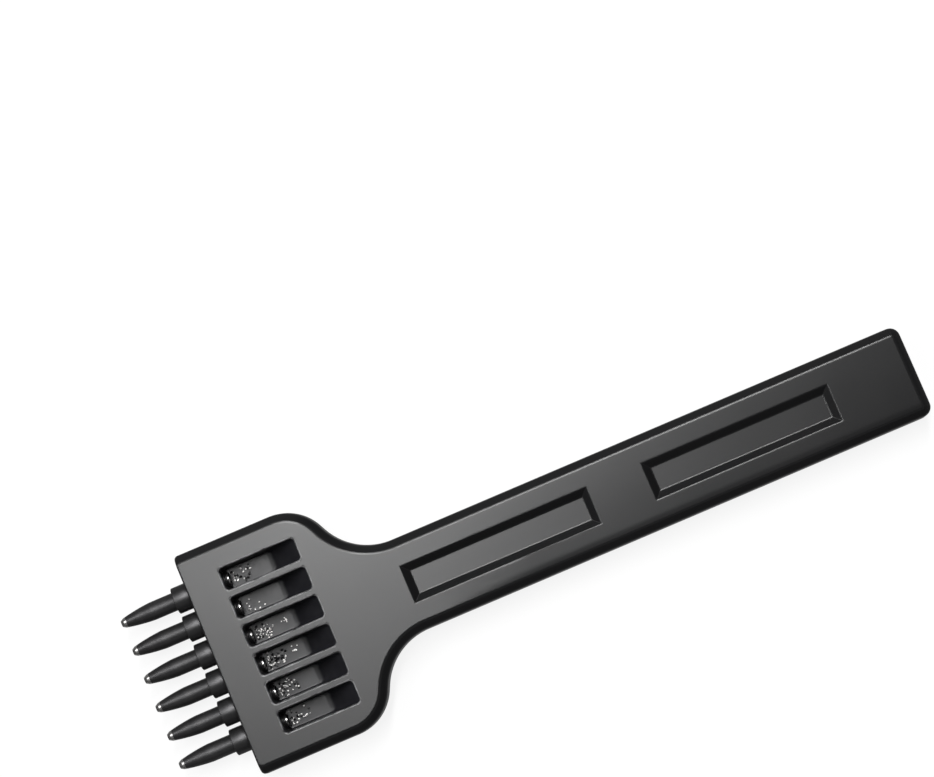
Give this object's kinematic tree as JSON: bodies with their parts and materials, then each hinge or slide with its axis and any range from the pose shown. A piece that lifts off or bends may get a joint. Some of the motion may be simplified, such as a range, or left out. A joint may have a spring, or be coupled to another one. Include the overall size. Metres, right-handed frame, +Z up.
{
  "type": "pricking iron",
  "caption": "Flat steel leather punch: a wide head with a row of screw-in hollow round-hole tips, waste windows behind them, and a bar handle with sunk panels.",
  "frame": {"origin": "centre of the base of the bounding box, with the iron lying flat on its back", "axes": "+X from the cutting ends to the struck end of the handle, +Y across the iron along the row of tips, +Z up out of the face with the windows"},
  "size_m": [0.1358, 0.0384, 0.008],
  "materials": {
    "black_paint": "satin black paint on steel",
    "black_oxide_steel": "turned steel with black oxide"
  },
  "bodies": {
    "handle": {"handle_body": "black_paint"},
    "tip_1": {"punch_tip_1": "black_oxide_steel"},
    "tip_2": {"punch_tip_2": "black_oxide_steel"},
    "tip_3": {"punch_tip_3": "black_oxide_steel"},
    "tip_4": {"punch_tip_4": "black_oxide_steel"},
    "tip_5": {"punch_tip_5": "black_oxide_steel"},
    "tip_6": {"punch_tip_6": "black_oxide_steel"}
  },
  "joints": [
    {"name": "tip_1_unscrew", "type": "slide", "parent": "handle", "child": "tip_1", "axis": [-1, 0, 0], "range_m": [0, 0.01]},
    {"name": "tip_2_unscrew", "type": "slide", "parent": "handle", "child": "tip_2", "axis": [-1, 0, 0], "range_m": [0, 0.01]},
    {"name": "tip_3_unscrew", "type": "slide", "parent": "handle", "child": "tip_3", "axis": [-1, 0, 0], "range_m": [0, 0.01]},
    {"name": "tip_4_unscrew", "type": "slide", "parent": "handle", "child": "tip_4", "axis": [-1, 0, 0], "range_m": [0, 0.01]},
    {"name": "tip_5_unscrew", "type": "slide", "parent": "handle", "child": "tip_5", "axis": [-1, 0, 0], "range_m": [0, 0.01]},
    {"name": "tip_6_unscrew", "type": "slide", "parent": "handle", "child": "tip_6", "axis": [-1, 0, 0], "range_m": [0, 0.01]}
  ]
}
